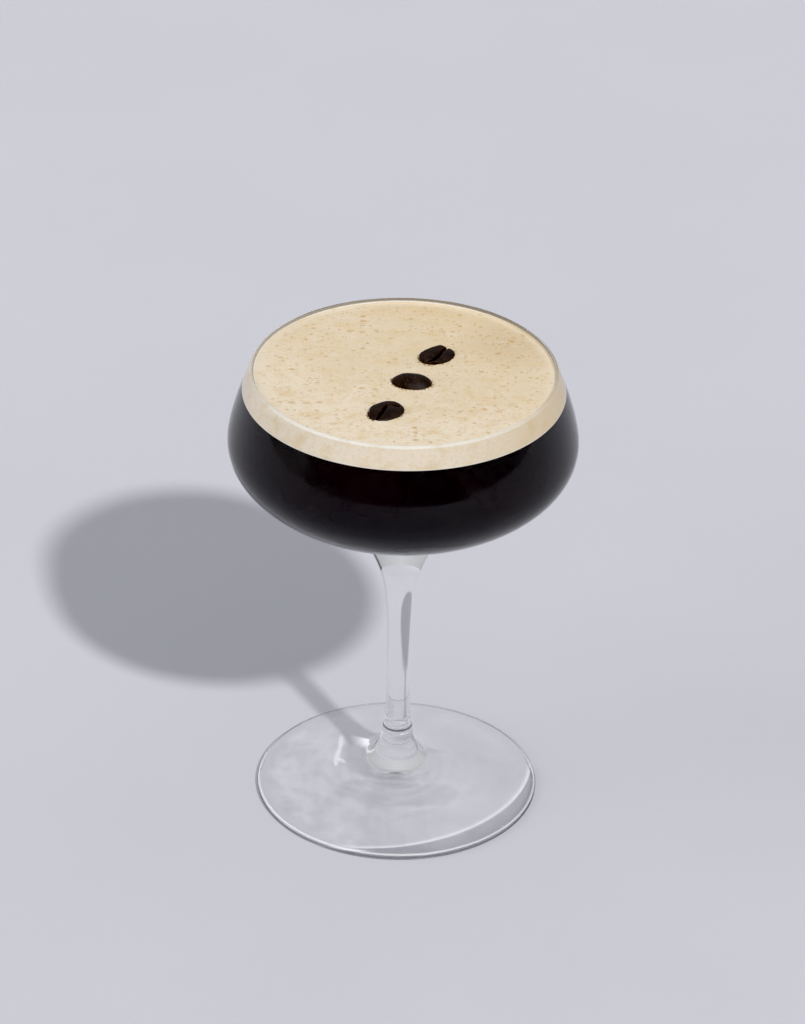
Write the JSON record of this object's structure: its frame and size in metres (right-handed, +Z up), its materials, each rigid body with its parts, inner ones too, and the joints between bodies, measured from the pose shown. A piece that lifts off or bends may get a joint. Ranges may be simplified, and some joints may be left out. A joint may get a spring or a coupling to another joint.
{
  "type": "espresso martini cocktail in a coupe glass",
  "caption": "Coffee cocktail in a clear stemmed coupe: dark coffee under a pale foam layer, with roasted coffee beans set in the foam.",
  "frame": {"origin": "middle of the foot, on the surface the glass stands on", "axes": "+Z up along the stem; +Y away from the viewer, so the row of beans runs from front left to back right; +X to the viewer's right"},
  "size_m": [0.1, 0.1, 0.1407],
  "materials": {
    "clear_glass": "polished, clear",
    "coffee": "near-black liquid",
    "foam": "fine bubbles, cream",
    "bean": "dark roast, satin"
  },
  "bodies": {
    "root": {"glass": "clear_glass", "coffee": "coffee", "foam": "foam", "bean_front": "bean", "bean_middle": "bean", "bean_back": "bean"}
  },
  "joints": []
}
